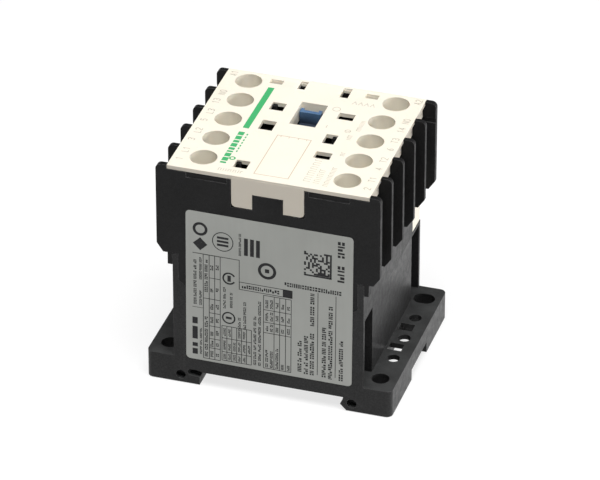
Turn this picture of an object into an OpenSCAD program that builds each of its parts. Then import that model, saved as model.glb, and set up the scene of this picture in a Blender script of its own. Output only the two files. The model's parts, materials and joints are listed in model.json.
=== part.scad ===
// Industrial control relay: a rail-mounted miniature contactor that lies on its back.
// Origin: middle of the back, between the mounting feet. +X runs across the two terminal
// rows, +Y runs away from the label face, +Z points out of the front cover. Millimetres.

/* [Envelope] */
// Length over the mounting feet, along X
unit_x = 58; // [57.6:0.1:60]
// Width along the rail, Y
unit_y = 45; // [44.9:0.1:45.4]
// Height from the back to the front cover, Z
unit_z = 57; // [56.9:0.1:58]

/* [Base housing] */
// Width of the body between its two side walls
body_x = 44.8; // [44.6:0.1:45]
// Height of the mounting feet
foot_z = 6.8; // [6.4:0.1:7]
// Thickness of the feet's top plate
foot_plate = 1.3; // [1:0.1:1.6]
// Plan radius of the feet's outer corners
foot_r = 1.5; // [0.5:0.1:2]
// Height of the rail groove's ceiling
groove_z = 3.4; // [3.2:0.1:3.6]
// Height of the floor inside the magnet cavity
floor_z = 5.2; // [5:0.1:5.4]
// Height of the seam between the two housings on the end faces
seam_z = 26.1; // [25:0.1:27]
// Height of the base housing's side walls and corner posts
base_z = 34; // [33.8:0.1:34]

/* [Mounting holes] */
// Hole spacing across the feet
mount_dx = 50; // [49.8:0.1:50.2]
// Hole spacing along the feet
mount_dy = 35; // [34.8:0.1:35.2]
// Hole and slot width
mount_d = 4.1; // [4:0.1:4.3]
// Length of the two slotted holes
mount_slot = 5.1; // [4.6:0.1:5.4]

/* [Terminals] */
// Distance of the contact terminal screws from the middle plane
screw_x = 16.7; // [16.5:0.1:16.8]
// Distance of the coil terminal screws from the middle plane
coil_screw_x = 17.5; // [17.3:0.1:17.6]
// Row of the first pole
row_1_y = -16.7; // [-16.8:0.05:-16.6]
// Pitch of the poles
pitch = 8.79; // [8.75:0.01:8.8]
// Row of the coil terminals
coil_row_y = 18.3; // [18.2:0.05:18.35]
// Bore of the screwdriver holes
access_d = 6.2; // [6:0.05:6.2]
// How far a terminal screw opens its clamp
clamp_travel = 2; // [1:0.1:2.2]

/* [Barrier fins] */
// Reach of the fins from the middle plane
fin_x = 26.1; // [25.5:0.1:26.4]
// Thickness of the fins
fin_t = 1.1; // [1:0.05:1.2]
// Pitch of the fins
fin_pitch = 8.76; // [8.72:0.01:8.78]
// Height of the fins' lower edges
fin_low = 34.2; // [34.2:0.1:34.6]

/* [Front cover] */
// Width of the cover, X
cover_x = 47; // [46.9:0.1:47.1]
// Thickness of the cover plate
cover_t = 1; // [0.9:0.05:1.1]
// Width over the cover's side skirts
skirt_x = 46; // [45.8:0.1:46.2]

/* [Label] */
// How far the sticker is turned off square, in degrees
label_turn = 0.4; // [0:0.1:0.5]

/* [Mechanism] */
// Travel of the contact carrier
travel = 3; // [2:0.1:3]
// Overtravel of the bridge contacts in the carrier
overtravel = 0.8; // [0.4:0.1:1]
// Travel of the rail slider
slider_travel = 1.3; // [0.8:0.1:1.3]

/* [Hidden] */

$fn = 48;
eps = 0.05;                          // overshoot of cutting tools
gap = 0.05;                          // play between pieces that meet

base_col = [0.19, 0.19, 0.19];
black_col = [0.1, 0.1, 0.1];
cream_col = [0.96, 0.95, 0.88];
label_col = [0.6, 0.61, 0.59];
steel_col = [0.7, 0.71, 0.72];
copper_col = [0.72, 0.45, 0.25];
silver_col = [0.86, 0.86, 0.84];

hx = unit_x / 2;
hy = unit_y / 2;
bx = body_x / 2;
label_t = 0.1;
near_y = -hy + label_t;              // end face that carries the label
wall = 1.6;
panel_t = 1.3;                       // end panels of the contact housing
cavity_x = bx - wall;
corner_x = bx - 3.6;                 // cavity half width beside the screw pockets
cavity_y = hy - wall - label_t;
pocket_y = [15.5, 21.5];             // screw pockets, from the middle plane
pocket_depth = 2.2;
pocket_z = 20;
post_x = 21.05;                      // inner side of the corner posts
cover_hx = cover_x / 2;
cover_y0 = near_y + 0.15;
cover_y1 = hy - 0.1;
plate_z = unit_z - cover_t;
skirt_hx = skirt_x / 2;
skirt_z = 53;                        // lower edge of the cover's side skirts
deck_z = 53;                         // top deck of the contact housing
deck_t = 1.4;
cell_floor = 36;                     // floor of the terminal cells
barrier_z = 49.3;                    // top of the barriers inside the body
deck_y = -near_y - 1;                // reach of the deck and inner walls along Y
arc_x = 11.3;                        // half width of the contact chamber
inner_wall = 0.9;
chamber_y = 13.7;                    // far end of the contact chamber
strip_z = 40.95;                     // underside of the fixed contacts
strip_t = 0.8;
strip_w = 5;
strip_in = 6.2;
strip_out = 20;
tip_t = 0.6;
washer_z = strip_z + strip_t + gap;
washer_t = 1;
head_z = washer_z + washer_t + gap;
head_h = 2.2;
head_d = 5.2;
shank_d = 3;
bridge_z = strip_z + strip_t + 2 * tip_t + travel + gap;
bridge_t = 0.8;
chimney_z = head_z + head_h + clamp_travel + 2.75;  // lower end of the cover's screwdriver guides
beam_z = bridge_z + bridge_t + overtravel + 3;  // underside of the carrier's top beam
beam_t = 1.7;
yoke_t = 4.5;
core_z = floor_z + 1;
core_top = 18;
armature_z = core_top + travel + 0.1;
armature_yoke = 29;
carrier_z = armature_yoke + yoke_t + 0.05;
carrier_plate = 2;
stack_y = 6;                         // half thickness of the lamination stacks
leg_x = 3.4;                         // half width of the middle legs
side_leg = [10.9, 14.5];             // outer legs
flange_z = [11.4, 24.4];             // undersides of the bobbin's flanges
flange_t = 1;
arm_z = 24.85;                       // underside of the bobbin's arms
arm_y = [16.4, 20.8];
arm_top = 33.6;
lead_y = 15.2;                       // plane of the coil leads
window = [[-3.05, 3], [3.1, 13]];    // indicator window, two corners
slider_x = [-21.3, -18.3, -17.55];   // back, shoulder and nose of the rail slider
slider_bore_z = 2.42;

function row_y(i) = row_1_y + (i - 1) * pitch;
function fin_y(i) = (i - 3.5) * fin_pitch;
function arc(c, r, a0, a1, n = 6) =
    [for (i = [0:n]) let (a = a0 + (a1 - a0) * i / n) c + r * [cos(a), sin(a)]];

// A block between two opposite corners
module block(lo, hi) {
    translate(lo) cube(hi - lo);
}

// A plate between two opposite corners with rounded upright edges
module slab(lo, hi, r) {
    block([lo.x + r, lo.y, lo.z], [hi.x - r, hi.y, hi.z]);
    block([lo.x, lo.y + r, lo.z], [hi.x, hi.y - r, hi.z]);
    for (x = [lo.x + r, hi.x - r], y = [lo.y + r, hi.y - r])
        translate([x, y, lo.z]) cylinder(r = r, h = hi.z - lo.z);
}

// An outline in the X-Z plane, given a thickness from y0 to y1
module plate_xz(points, y0, y1) {
    translate([0, y1, 0]) rotate([90, 0, 0]) linear_extrude(y1 - y0) polygon(points);
}

// Both sides of the middle plane
module both_x() {
    children();
    mirror([1, 0, 0]) children();
}

// Both ends
module both_y() {
    children();
    mirror([0, 1, 0]) children();
}

// A wire coil round the Z axis, one closed sweep of a six-sided wire
module coil_spring(d, wire, z0, z1, turns) {
    steps = 12;
    sides = 6;
    n = round(turns * steps);
    rise = (z1 - z0 - wire) / n;
    points = [for (j = [0:n], k = [0:sides - 1])
        let (a = j * 360 / steps, b = k * 360 / sides, r = (d - wire) / 2 + wire / 2 * cos(b))
        [r * cos(a), r * sin(a), z0 + wire / 2 + j * rise + wire / 2 * sin(b)]];
    sweep = [for (j = [0:n - 1], k = [0:sides - 1])
        let (k2 = (k + 1) % sides)
        [j * sides + k, j * sides + k2, (j + 1) * sides + k2, (j + 1) * sides + k]];
    first = [for (k = [sides - 1:-1:0]) k];
    last = [for (k = [0:sides - 1]) n * sides + k];
    polyhedron(points, [for (f = concat(sweep, [first], [last])) [for (i = [len(f) - 1:-1:0]) f[i]]]);
}

// ---- Base housing ----

// Rail groove: a deep undercut on one side, a shallow lip on the other
groove = [[-16.3, -1], [-16.3, 2], [-18.9, 2.3], [-19.3, 3], [-18.9, 3.8], [-17, 3.8],
          [-15.6, groove_z], [17.7, groove_z], [17.5, 2.6], [16.95, 1.5], [18.45, 0], [19.4, -1]];

module rail_groove() {
    plate_xz(groove, -hy - 1, hy + 1);
}

// Pocket beside the body that a screwdriver reaches a mounting screw through
module screw_pocket() {
    plate_xz([[bx + 1, foot_z], [bx - pocket_depth, foot_z], [bx - pocket_depth, pocket_z],
              [bx, pocket_z + 4.1], [bx + 1, pocket_z + 4.1]], pocket_y[0], pocket_y[1]);
}

// Round holes at the label end, slots across the rail at the far end
module mounting_holes() {
    s = (mount_slot - mount_d) / 2;
    for (x = [-1, 1] * mount_dx / 2) {
        translate([x, -mount_dy / 2, -1]) cylinder(d = mount_d, h = foot_z + 2);
        for (dx = [-s, s])
            translate([x + dx, mount_dy / 2, -1]) cylinder(d = mount_d, h = foot_z + 2);
        block([x - s, (mount_dy - mount_d) / 2, -1], [x + s, (mount_dy + mount_d) / 2, foot_z + 1]);
    }
}

// The hollow under a foot, from its inner side, with the holes and slots in its top plate
module foot_hollow(inner) {
    block([inner, -12.6, -1], [hx - 1.3, 12.6, foot_z - foot_plate]);
    for (k = [-1:1])
        translate([25.4, k * pitch + 0.15, 2]) cylinder(d = 2.9, h = foot_z);
    for (y = [-3.95, 4.65])
        block([22.9, y - 1.4, foot_z - 2.6], [26.2, y + 1.4, foot_z + 1]);
}

// Guide of the rail slider, open to the groove
module slider_guide() {
    block([slider_x[0] - slider_travel - 0.1, -5.2, 1], [-16, 5.2, 3.85]);
}

// Blind round recesses in the end faces of the feet
module end_recesses() {
    for (x = [-20.8, 19.7])
        translate([x, near_y - eps, 2]) rotate([-90, 0, 0]) cylinder(d = 2.3, h = 1.6);
}

// Rib that centres the magnet core
module core_rib() {
    block([side_leg[1] + 0.2, -7.5, floor_z - 1], [16.2, 7.5, 10]);
}

module base_housing() {
    color(base_col)
    difference() {
        union() {
            slab([-hx, near_y, 0], [hx, hy, foot_z], foot_r);
            block([-bx, near_y, 0], [bx, hy, base_z]);
        }
        block([-cavity_x, -14.4, floor_z], [cavity_x, 14.4, base_z + 1]);
        block([-corner_x, -cavity_y, floor_z], [corner_x, cavity_y, base_z + 1]);
        for (end = [[near_y - 1, -cavity_y], [cavity_y, hy + 1]])
            plate_xz([[-post_x, base_z + 1], [-post_x, seam_z + 1.2], [-post_x + 1.5, seam_z],
                      [post_x - 1.5, seam_z], [post_x, seam_z + 1.2], [post_x, base_z + 1]],
                     end[0], end[1] + eps);
        both_x() both_y() screw_pocket();
        both_x() {
            block([13.8, arm_y[0] - 0.2, arm_z - gap], [bx + 1, 21, base_z + 1]);
            block([post_x, arm_y[0] - 0.2, arm_z - gap], [bx + 1, hy + 1, base_z + 1]);
        }
        foot_hollow(21.6);
        mirror([1, 0, 0]) foot_hollow(23.6);
        both_x() block([hx - 2, -6, -1], [hx + 1, 6, 2.7]);
        mounting_holes();
        rail_groove();
        slider_guide();
        end_recesses();
    }
    color(base_col) both_x() core_rib();
}

// ---- Contact housing ----

// One half outline of a fin, from the body outwards, with a rounded top and a cut-off foot
module fin_half(y0, y1, inner) {
    plate_xz(concat([[inner, fin_low], [fin_x - 1.5, fin_low], [fin_x, fin_low + 2.2]],
                    arc([fin_x - 1.2, unit_z - 1.25], 1.2, 0, 90),
                    [[cover_hx + gap, unit_z - 0.05], [cover_hx + gap, plate_z - gap],
                     [skirt_hx + gap, plate_z - gap], [skirt_hx + gap, skirt_z - 0.3],
                     [inner, skirt_z - 0.3]]), y0, y1);
}

module end_panel() {
    plate_xz([[-post_x + gap, fin_low + 1], [-post_x + gap, seam_z + 1.25],
              [-post_x + 1.5, seam_z + gap], [post_x - 1.5, seam_z + gap],
              [post_x - gap, seam_z + 1.25], [post_x - gap, fin_low + 1]], near_y, near_y + panel_t);
    block([-cover_hx - 0.5, near_y, fin_low], [cover_hx + 0.5, near_y + panel_t, plate_z - gap]);
    both_x() fin_half(near_y, near_y + panel_t, bx - 1);
    both_x() block([bx + gap, near_y, 31.2], [bx + 1.15, near_y + 1.8, fin_low + 4]);
}

// Room for the cover's end tab, round the lug that fills the tab's notch, and the ledges beside it
module tab_room() {
    both_x() block([9.5, near_y - 1, plate_z - 1.35], [19, near_y + 0.25, plate_z + 1]);
    difference() {
        block([-8.6, near_y - 1, 48.85], [8.6, near_y + 1, plate_z + 1]);
        block([-3.5, near_y - 2, 48], [3.5, near_y + 2, 52.7]);
    }
}

// Seat under a fixed contact, with clearance for the end of the terminal screw
module contact_seat(y) {
    block([arc_x, y - strip_w / 2 - 0.1, cell_floor - 1], [strip_out - 1, y + strip_w / 2 + 0.1,
          strip_z - gap]);
}

// Slit in the inner wall that a coil lead passes through
module lead_slit() {
    block([arc_x - 1, lead_y - 0.4, fin_low - 1], [arc_x + 2, lead_y + 0.4, strip_z + strip_t]);
}

// Screwdriver guide over a coil terminal
module coil_chimney(z, d) {
    translate([coil_screw_x, coil_row_y, z]) cylinder(d = d, h = unit_z - z - eps);
}

// Snap hooks on the deck, each at the outer far corner of its slot in the cover
module latch_hooks() {
    for (i = hooked_slots) {
        s = slots[i];
        x = s[0] < 0 ? s[0] + 0.15 : s[0] + s[2] - 0.15 - hook_w;
        y = s[1] + s[3] - 0.15 - hook_w;
        block([x, y, deck_z + deck_t - eps], [x + hook_w, y + hook_w, unit_z - 0.3]);
    }
}

module contact_housing() {
    color(black_col) latch_hooks();
    color(black_col)
    difference() {
        union() {
            both_y() difference() {
                end_panel();
                tab_room();
            }
            for (i = [2:5]) both_x() {
                fin_half(fin_y(i) - fin_t / 2, fin_y(i) + fin_t / 2, bx - 1);
                block([8.2, fin_y(i) - fin_t / 2, fin_low], [bx, fin_y(i) + fin_t / 2, barrier_z]);
            }
            both_x() {
                block([8.2, -deck_y, fin_low], [bx, chamber_y + 0.2, cell_floor]);
                block([arc_x, -deck_y, fin_low], [arc_x + inner_wall, deck_y, deck_z + deck_t]);
                block([bx - 1.2, -deck_y, 50.6], [bx, deck_y, plate_z - gap]);
                for (i = [1:4]) contact_seat(row_y(i));
            }
            block([-arc_x - eps, chamber_y, fin_low], [arc_x + eps, chamber_y + 1.1, deck_z + eps]);
            block([-arc_x - eps, -deck_y, deck_z], [arc_x + eps, deck_y, deck_z + deck_t]);
        }
        block([window[0].x - 1.1, window[0].y - 1.1, deck_z - 1],
              [window[1].x + 1.1, window[1].y + 1.1, deck_z + deck_t + 1]);
        both_x() {
            for (i = [1:4]) {
                block([arc_x - 1, row_y(i) - strip_w / 2 - 0.1, strip_z - gap],
                      [strip_out + 1, row_y(i) + strip_w / 2 + 0.1, strip_z + strip_t + 0.1]);
                translate([screw_x, row_y(i), cell_floor - 0.6]) cylinder(d = shank_d + 0.6, h = 8);
            }
            block([13.8, arm_y[0] - 0.2, fin_low - 1], [bx + 1, 21, cell_floor + 1]);
            lead_slit();
            coil_chimney(chimney_z - gap, access_d + 1 + 2 * gap);
            block([bx + 0.3, -near_y - panel_t - 1, 51.9], [fin_x + 1, -near_y - panel_t + 0.2, 53.1]);
        }
    }
}

// ---- Front cover ----

// Latch slots in the cover: low corner and size in plan
slots = [[-12.75, 18.85, 3, 1.85], [-5.9, 18.25, 1.7, 3.5], [4.3, 17.5, 1.95, 4.2],
         [9.9, 18.9, 3, 1.9], [-9.3, 7.65, 3.25, 3.35], [-9.05, -1.3, 3.3, 4.1],
         [-9.3, -18.7, 3.2, 3.25], [6.5, 8.15, 3.75, 2.75], [6.45, -2.9, 2.75, 4],
         [6.5, -9.5, 3.75, 2.8]];
shallow_slots = [0, 3];              // these two are dimples with a floor
hooked_slots = [4, 6, 8];            // a snap hook of the contact housing stands in these three
hook_w = 1;                          // side of a snap hook's square section

module latch_slots() {
    for (i = [0:len(slots) - 1]) {
        s = slots[i];
        depth = len(search(i, shallow_slots)) > 0 ? 0.6 : cover_t + 1;
        translate([s[0], s[1], unit_z - depth]) cube([s[2], s[3], depth + 1]);
    }
}

// The tab that snaps over the lug of an end panel
module end_tab() {
    difference() {
        union() {
            block([-8.45, near_y + 0.05, 50], [8.45, near_y + 0.95, unit_z - 0.5]);
            block([-7.45, near_y + 0.05, 49], [7.45, near_y + 0.95, unit_z - 0.5]);
            both_x() translate([7.45, near_y + 0.05, 50]) rotate([-90, 0, 0]) cylinder(r = 1, h = 0.9);
        }
        block([-3.6, near_y - 1, 48], [3.6, near_y + 2, 52.8]);
    }
}

module access_hole(x, y) {
    translate([x, y, 40]) cylinder(d = access_d, h = 20);
}

module front_cover() {
    color(cream_col) {
        difference() {
            union() {
                block([-cover_hx, cover_y0, plate_z], [cover_hx, cover_y1, unit_z]);
                both_x() block([bx + 0.2, near_y + panel_t + 0.1, skirt_z],
                               [skirt_hx, -near_y - panel_t - 0.1, plate_z + eps]);
                both_x() for (i = [1:4])
                    translate([screw_x, row_y(i), chimney_z])
                        cylinder(d = access_d + 1.4, h = unit_z - chimney_z - eps);
                both_x() coil_chimney(chimney_z, access_d + 1);
                block([window[0].x - 0.8, window[0].y - 0.8, deck_z + 0.3],
                      [window[1].x + 0.8, window[1].y + 0.8, unit_z - eps]);
            }
            both_x() for (i = [1:4]) access_hole(screw_x, row_y(i));
            both_x() access_hole(coil_screw_x, coil_row_y);
            block([window[0].x, window[0].y, 50], [window[1].x, window[1].y, unit_z + 1]);
            latch_slots();
        }
        end_tab();
        mirror([0, 1, 0]) end_tab();
    }
}

// ---- Label ----

module rating_label() {
    color(label_col)
    translate([-19.4, near_y, 6.95]) rotate([90, label_turn, 0])
        slab([0, 0, 0], [39.1, 39.35, label_t], 1);
}

// ---- Magnet and coil ----

// An E of laminations, legs upwards
module e_stack(z0, z1, leg) {
    block([-side_leg[1], -stack_y, z0], [side_leg[1], stack_y, z1]);
    block([-leg_x, -stack_y, z0], [leg_x, stack_y, leg]);
    both_x() block([side_leg[0], -stack_y, z0], [side_leg[1], stack_y, leg]);
}

// Bores or rivets through a yoke
module yoke_rivets(z, d, head_d, reach) {
    for (x = [-7.5, 7.5]) translate([x, 0, z]) rotate([90, 0, 0]) {
        cylinder(d = d, h = 2 * reach, center = true);
        for (s = [-1, 1] * reach) translate([0, 0, s]) cylinder(d = head_d, h = 0.6, center = true);
    }
}

module magnet_core() {
    color(steel_col)
    difference() {
        e_stack(core_z, core_z + 4.8, core_top);
        both_x() block([12.3, -10, core_top - 1.5], [13, 10, core_top + 1]);
        yoke_rivets(core_z + 2.2, 2.1, 2.1, 10);
    }
}

module core_rivets() {
    color(silver_col) yoke_rivets(core_z + 2.2, 2, 3.2, stack_y + 0.31);
}

module shading_rings() {
    color(copper_col)
    both_x() difference() {
        block([12.35, -6.7, core_top - 1.4], [15.2, 6.7, core_top - 0.2]);
        block([12.95, -6.05, 0], [14.55, 6.05, core_top + 1]);
    }
}

module core_pad() {
    color([0.15, 0.15, 0.16])
    difference() {
        block([-14.3, -stack_y, floor_z], [14.3, stack_y, core_z]);
        translate([0, 0, floor_z - 1]) cylinder(d = 4, h = 3);
    }
}

module bobbin_arm() {
    difference() {
        union() {
            block([14, arm_y[0], arm_z], [bx - 0.1, arm_y[1], strip_z]);
            block([14, arm_y[0], arm_z], [bx - 0.1, 20.95, arm_top]);
            block([post_x + gap, arm_y[0], arm_z], [bx - 0.1, -near_y - 0.1, arm_top]);
        }
        translate([coil_screw_x, coil_row_y, 34]) cylinder(d = shank_d + 0.6, h = 10);
    }
}

module coil_bobbin() {
    color(cream_col)
    difference() {
        union() {
            block([-4.7, -7.3, flange_z[0]], [4.7, 7.3, flange_z[1] + flange_t]);
            for (z = flange_z) slab([-10.6, -13.2, z], [10.6, 13.2, z + flange_t], 1);
            block([-8, 13, flange_z[1]], [8, arm_y[0] + 0.5, arm_z + 1.15]);
            block([-15, arm_y[0], arm_z], [15, arm_y[1], arm_z + 1.15]);
            both_x() bobbin_arm();
        }
        block([-3.7, -6.3, 0], [3.7, 6.3, 40]);
    }
}

module coil_winding() {
    color([0.55, 0.16, 0.1])
    difference() {
        slab([-10, -12.6, flange_z[0] + flange_t + gap], [10, 12.6, flange_z[1] - gap], 4);
        block([-4.75, -7.35, 0], [4.75, 7.35, 40]);
    }
}

module coil_leads() {
    lead_d = 0.5;
    x = 9.5;
    z0 = flange_z[1] - 0.6;
    z1 = strip_z + strip_t / 2;
    color(copper_col) both_x() {
        translate([x, 12.65, z0]) rotate([-90, 0, 0]) cylinder(d = lead_d, h = lead_y - 12.65);
        translate([x, lead_y, z0]) sphere(d = lead_d);
        translate([x, lead_y, z0]) cylinder(d = lead_d, h = z1 - z0);
        translate([x, lead_y, z1]) sphere(d = lead_d);
        translate([x, lead_y, z1]) rotate([0, 90, 0]) cylinder(d = lead_d, h = 6);
        translate([x + 6, lead_y, z1]) sphere(d = lead_d);
        translate([x + 6, lead_y, z1]) rotate([-90, 0, 0]) cylinder(d = lead_d, h = arm_y[0] - lead_y);
    }
}

// Plate under a coil terminal screw, on the side of x
module coil_terminal(side) {
    color(steel_col)
    difference() {
        mirror([side > 0 ? 0 : 1, 0, 0])
            block([14, arm_y[0], strip_z], [21.4, arm_y[1], strip_z + strip_t]);
        translate([side * coil_screw_x, coil_row_y, 30]) cylinder(d = shank_d + 0.1, h = 20);
    }
}

// ---- Contacts ----

// Strip from the arc chamber to the terminal, on the side of x, with its tail bent down
module fixed_contact(side, i) {
    color(copper_col)
    difference() {
        mirror([side > 0 ? 0 : 1, 0, 0]) {
            block([strip_in, row_y(i) - strip_w / 2, strip_z],
                  [strip_out, row_y(i) + strip_w / 2, strip_z + strip_t]);
            block([strip_out - strip_t, row_y(i) - strip_w / 2, strip_z - 2.6],
                  [strip_out, row_y(i) + strip_w / 2, strip_z + eps]);
        }
        translate([side * screw_x, row_y(i), 30]) cylinder(d = shank_d + 0.1, h = 20);
    }
}

module fixed_contact_tips() {
    color(silver_col)
    both_x() for (i = [1:4])
        translate([strip_in + 1.6, row_y(i), strip_z + strip_t]) cylinder(d = 2.8, h = tip_t);
}

module bridge_contact(i) {
    y = row_y(i);
    color(copper_col) {
        block([-9.3, y - 2.1, bridge_z], [9.3, y + 2.1, bridge_z + bridge_t]);
        both_x() translate([strip_in + 1.6, y, bridge_z - tip_t]) cylinder(d = 2.8, h = tip_t + eps);
    }
}

module contact_spring(i) {
    color(steel_col)
    translate([0, row_y(i), 0])
        coil_spring(3.2, 0.4, bridge_z + bridge_t + 0.02, beam_z - 0.02, 4.5);
}

// ---- Carrier and armature ----

carrier_y = [-20.7, 13.35];
carrier_x = 4;
window_y = 3;                        // half length of a bridge window

module carrier_ears() {
    both_y() block([-3, stack_y + 0.1, carrier_z - 3.8], [3, stack_y + 1.9, carrier_z + eps]);
}

module contact_carrier() {
    color([0.16, 0.15, 0.14])
    difference() {
        union() {
            block([-7.4, carrier_y[0], carrier_z], [7.4, carrier_y[1], carrier_z + carrier_plate]);
            block([-carrier_x, carrier_y[0], carrier_z], [carrier_x, carrier_y[1], beam_z + beam_t]);
            carrier_ears();
        }
        for (i = [1:4]) {
            block([-9, row_y(i) - window_y, bridge_z - gap], [9, row_y(i) + window_y, beam_z]);
            block([-9, row_y(i) - window_y, carrier_z + carrier_plate],
                  [9, row_y(i) + window_y, bridge_z - 2.2]);
        }
        translate([0, 0, carrier_z - 2.3]) rotate([90, 0, 0]) cylinder(d = 2.56, h = 30, center = true);
    }
}

// Flag in the cover's window: a front plate with two short returns
module indicator_flag() {
    color([0.2, 0.36, 0.62]) {
        z0 = beam_z + beam_t;
        block([-2.85, 10.2, z0], [2.15, 11.2, 56.1]);
        block([-2.85, 10.2, z0], [-2.05, 11.9, 56.1]);
        block([1.35, 10.2, z0], [2.15, 11.9, 56.1]);
        block([-2.85, 9.2, z0], [2.15, 12.4, z0 + 0.8]);
    }
}

module armature() {
    color(steel_col)
    difference() {
        translate([0, 0, armature_yoke + yoke_t]) mirror([0, 0, 1])
            e_stack(0, yoke_t, armature_yoke + yoke_t - armature_z);
        yoke_rivets(armature_yoke + 1.6, 2.1, 2.1, 10);
        translate([0, 0, carrier_z - 2.3]) rotate([90, 0, 0]) cylinder(d = 2.56, h = 30, center = true);
    }
}

module armature_rivets() {
    color(silver_col) yoke_rivets(armature_yoke + 1.6, 2, 3.2, stack_y + 0.31);
}

module armature_pin() {
    color(silver_col)
    translate([0, 0, carrier_z - 2.3]) rotate([90, 0, 0])
        cylinder(d = 2.5, h = 2 * stack_y + 3.6, center = true);
}

module return_spring(side) {
    color(steel_col)
    translate([0, side * 10.8, 0])
        coil_spring(3.8, 0.45, flange_z[1] + flange_t + 0.02, carrier_z - 0.02, 6);
}

// ---- Rail slider ----

module rail_slider() {
    color([0.3, 0.3, 0.3])
    difference() {
        union() {
            block([slider_x[0], -5, 1.15], [slider_x[1], 5, 3.7]);
            block([slider_x[1] - eps, -4, 1.15], [slider_x[2], 4, 3.2]);
        }
        translate([slider_x[0] - 1, 0, slider_bore_z]) rotate([0, 90, 0]) cylinder(d = 1.9, h = 3.7);
    }
}

module rail_slider_spring() {
    color(steel_col)
    translate([0, 0, slider_bore_z]) rotate([0, 90, 0])
        coil_spring(1.7, 0.25, slider_x[0] - slider_travel - 0.08, slider_x[1] - 0.32, 7);
}

// ---- Terminals ----

// Square clamp washer with two raised edges
module clamp_washer(x, y) {
    color(steel_col)
    difference() {
        union() {
            block([x - 3.2, y - 2.6, washer_z], [x + 3.2, y + 2.6, washer_z + washer_t]);
            for (s = [-1, 1])
                block([x + s * 2.95 - 0.25, y - 2.6, washer_z],
                      [x + s * 2.95 + 0.25, y + 2.6, washer_z + washer_t + 0.5]);
        }
        translate([x, y, 30]) cylinder(d = shank_d + 0.1, h = 20);
    }
}

// Pan-head screw with a cross and a slot
module terminal_screw(x, y) {
    color(steel_col)
    translate([x, y, 0]) difference() {
        union() {
            translate([0, 0, head_z]) cylinder(d = head_d, h = head_h - 0.4);
            translate([0, 0, head_z + head_h - 0.4]) cylinder(d1 = head_d, d2 = head_d - 0.8, h = 0.4);
            translate([0, 0, cell_floor + 0.6]) cylinder(d = shank_d, h = head_z - cell_floor);
        }
        block([-2.3, -0.4, head_z + head_h - 1.1], [2.3, 0.4, head_z + head_h + 1]);
        block([-0.45, -1.5, head_z + head_h - 1.1], [0.45, 1.5, head_z + head_h + 1]);
    }
}

base_housing();
contact_housing();
front_cover();
rating_label();
magnet_core();
core_rivets();
shading_rings();
core_pad();
coil_bobbin();
coil_winding();
coil_leads();
coil_terminal(-1);  // coil_terminal_a1
coil_terminal(1);  // coil_terminal_a2
fixed_contact(-1, 1);  // line_contact_1
fixed_contact(-1, 2);  // line_contact_2
fixed_contact(-1, 3);  // line_contact_3
fixed_contact(-1, 4);  // line_contact_4
fixed_contact(1, 1);  // load_contact_1
fixed_contact(1, 2);  // load_contact_2
fixed_contact(1, 3);  // load_contact_3
fixed_contact(1, 4);  // load_contact_4
fixed_contact_tips();
contact_carrier();
indicator_flag();
armature();
armature_rivets();
armature_pin();
bridge_contact(1);  // bridge_contact_1
bridge_contact(2);  // bridge_contact_2
bridge_contact(3);  // bridge_contact_3
bridge_contact(4);  // bridge_contact_4
contact_spring(1);  // contact_spring_1
contact_spring(2);  // contact_spring_2
contact_spring(3);  // contact_spring_3
contact_spring(4);  // contact_spring_4
return_spring(-1);  // return_spring_near
return_spring(1);  // return_spring_far
rail_slider();
rail_slider_spring();
clamp_washer(-screw_x, row_y(1));  // washer_line_1
clamp_washer(-screw_x, row_y(2));  // washer_line_2
clamp_washer(-screw_x, row_y(3));  // washer_line_3
clamp_washer(-screw_x, row_y(4));  // washer_line_4
clamp_washer(screw_x, row_y(1));  // washer_load_1
clamp_washer(screw_x, row_y(2));  // washer_load_2
clamp_washer(screw_x, row_y(3));  // washer_load_3
clamp_washer(screw_x, row_y(4));  // washer_load_4
clamp_washer(-coil_screw_x, coil_row_y);  // washer_coil_a1
clamp_washer(coil_screw_x, coil_row_y);  // washer_coil_a2
terminal_screw(-screw_x, row_y(1));  // screw_line_1
terminal_screw(-screw_x, row_y(2));  // screw_line_2
terminal_screw(-screw_x, row_y(3));  // screw_line_3
terminal_screw(-screw_x, row_y(4));  // screw_line_4
terminal_screw(screw_x, row_y(1));  // screw_load_1
terminal_screw(screw_x, row_y(2));  // screw_load_2
terminal_screw(screw_x, row_y(3));  // screw_load_3
terminal_screw(screw_x, row_y(4));  // screw_load_4
terminal_screw(-coil_screw_x, coil_row_y);  // screw_coil_a1
terminal_screw(coil_screw_x, coil_row_y);  // screw_coil_a2
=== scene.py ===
"""Looks of the industrial control relay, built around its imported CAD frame. Metres."""
import json
import math
import random

import bmesh
import bpy
from mathutils import Matrix, Vector

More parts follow.
